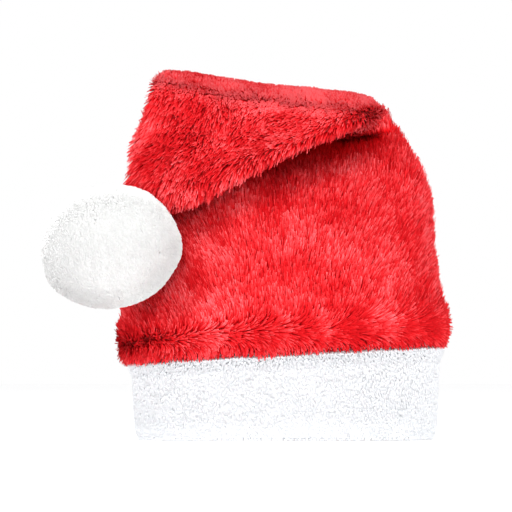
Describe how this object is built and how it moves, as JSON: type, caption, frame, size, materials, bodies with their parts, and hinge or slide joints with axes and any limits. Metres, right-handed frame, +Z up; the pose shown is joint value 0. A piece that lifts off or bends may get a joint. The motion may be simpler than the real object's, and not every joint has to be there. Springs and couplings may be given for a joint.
{
  "type": "pet santa hat",
  "caption": "Plush santa hat for a pet: red crown with its tail folded forward over the top, white band round the rim and white pompom at the tail's tip.",
  "frame": {"origin": "on the floor, under the middle of the whole hat's bounding box", "axes": "+X to the right across the hat, away from the pompom; +Y to the back; +Z up; the tail and pompom hang at the front, towards -Y"},
  "size_m": [0.2028, 0.1538, 0.184],
  "materials": {
    "red_plush": "long pile plush",
    "white_plush": "long pile plush"
  },
  "bodies": {
    "root": {"crown": "red_plush", "band": "white_plush", "pompom": "white_plush"}
  },
  "joints": []
}
